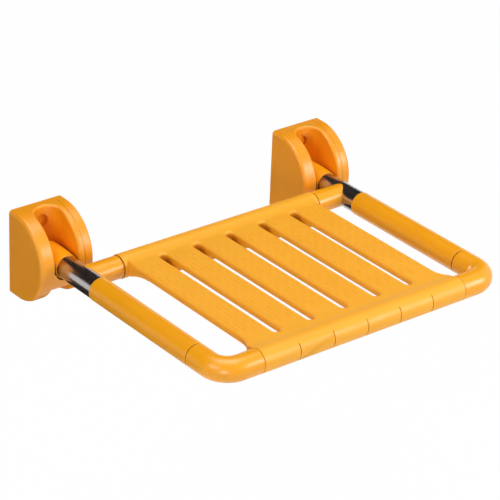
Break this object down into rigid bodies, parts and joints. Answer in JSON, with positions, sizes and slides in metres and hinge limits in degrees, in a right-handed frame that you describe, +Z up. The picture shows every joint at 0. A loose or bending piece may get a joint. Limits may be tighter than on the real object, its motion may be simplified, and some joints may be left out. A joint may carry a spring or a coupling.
{
  "type": "wall-mounted folding shower seat",
  "caption": "Slatted yellow shower seat on a nylon-clad tube frame that folds up against the wall on hinged wall brackets.",
  "frame": {"origin": "on the wall plane, midway between the two brackets, at the level of the arm axes with the seat down", "axes": "X along the wall, plus Y into the wall, Z up; the seat reaches out along minus Y"},
  "size_m": [0.547, 0.4425, 0.128],
  "materials": {
    "yellow_nylon": "smooth satin-gloss yellow nylon",
    "yellow_seat": "satin yellow nylon, fine raised grip marks on the slats",
    "polished_steel": "polished stainless tube",
    "core_steel": "plain drawn steel",
    "bearing_plastic": "natural bearing plastic"
  },
  "bodies": {
    "wall_brackets": {"left_bracket_body": "yellow_nylon", "right_bracket_body": "yellow_nylon", "left_bracket_cover": "yellow_nylon", "right_bracket_cover": "yellow_nylon", "left_arm_rest": "yellow_nylon", "right_arm_rest": "yellow_nylon", "hinge_pins": "core_steel", "hinge_washers": "bearing_plastic", "screw_caps": "yellow_nylon"},
    "seat": {"left_hinge_knuckle": "yellow_nylon", "right_hinge_knuckle": "yellow_nylon", "left_arm_sleeve": "yellow_nylon", "right_arm_sleeve": "yellow_nylon", "left_corner_elbow": "yellow_nylon", "right_corner_elbow": "yellow_nylon", "left_cross_collar": "yellow_nylon", "right_cross_collar": "yellow_nylon", "seat_panel": "yellow_seat", "left_hinge_tube": "polished_steel", "right_hinge_tube": "polished_steel", "left_arm_tube": "core_steel", "right_arm_tube": "core_steel", "front_tube": "core_steel", "rear_cross_tube": "core_steel", "lock_pins": "core_steel", "seat_screws": "core_steel", "hinge_bushes": "bearing_plastic"}
  },
  "joints": [
    {"name": "seat_fold", "type": "hinge", "parent": "wall_brackets", "child": "seat", "pos_m": [0, -0.033, 0], "axis": [-1, 0, 0], "range_deg": [0, 90]}
  ]
}
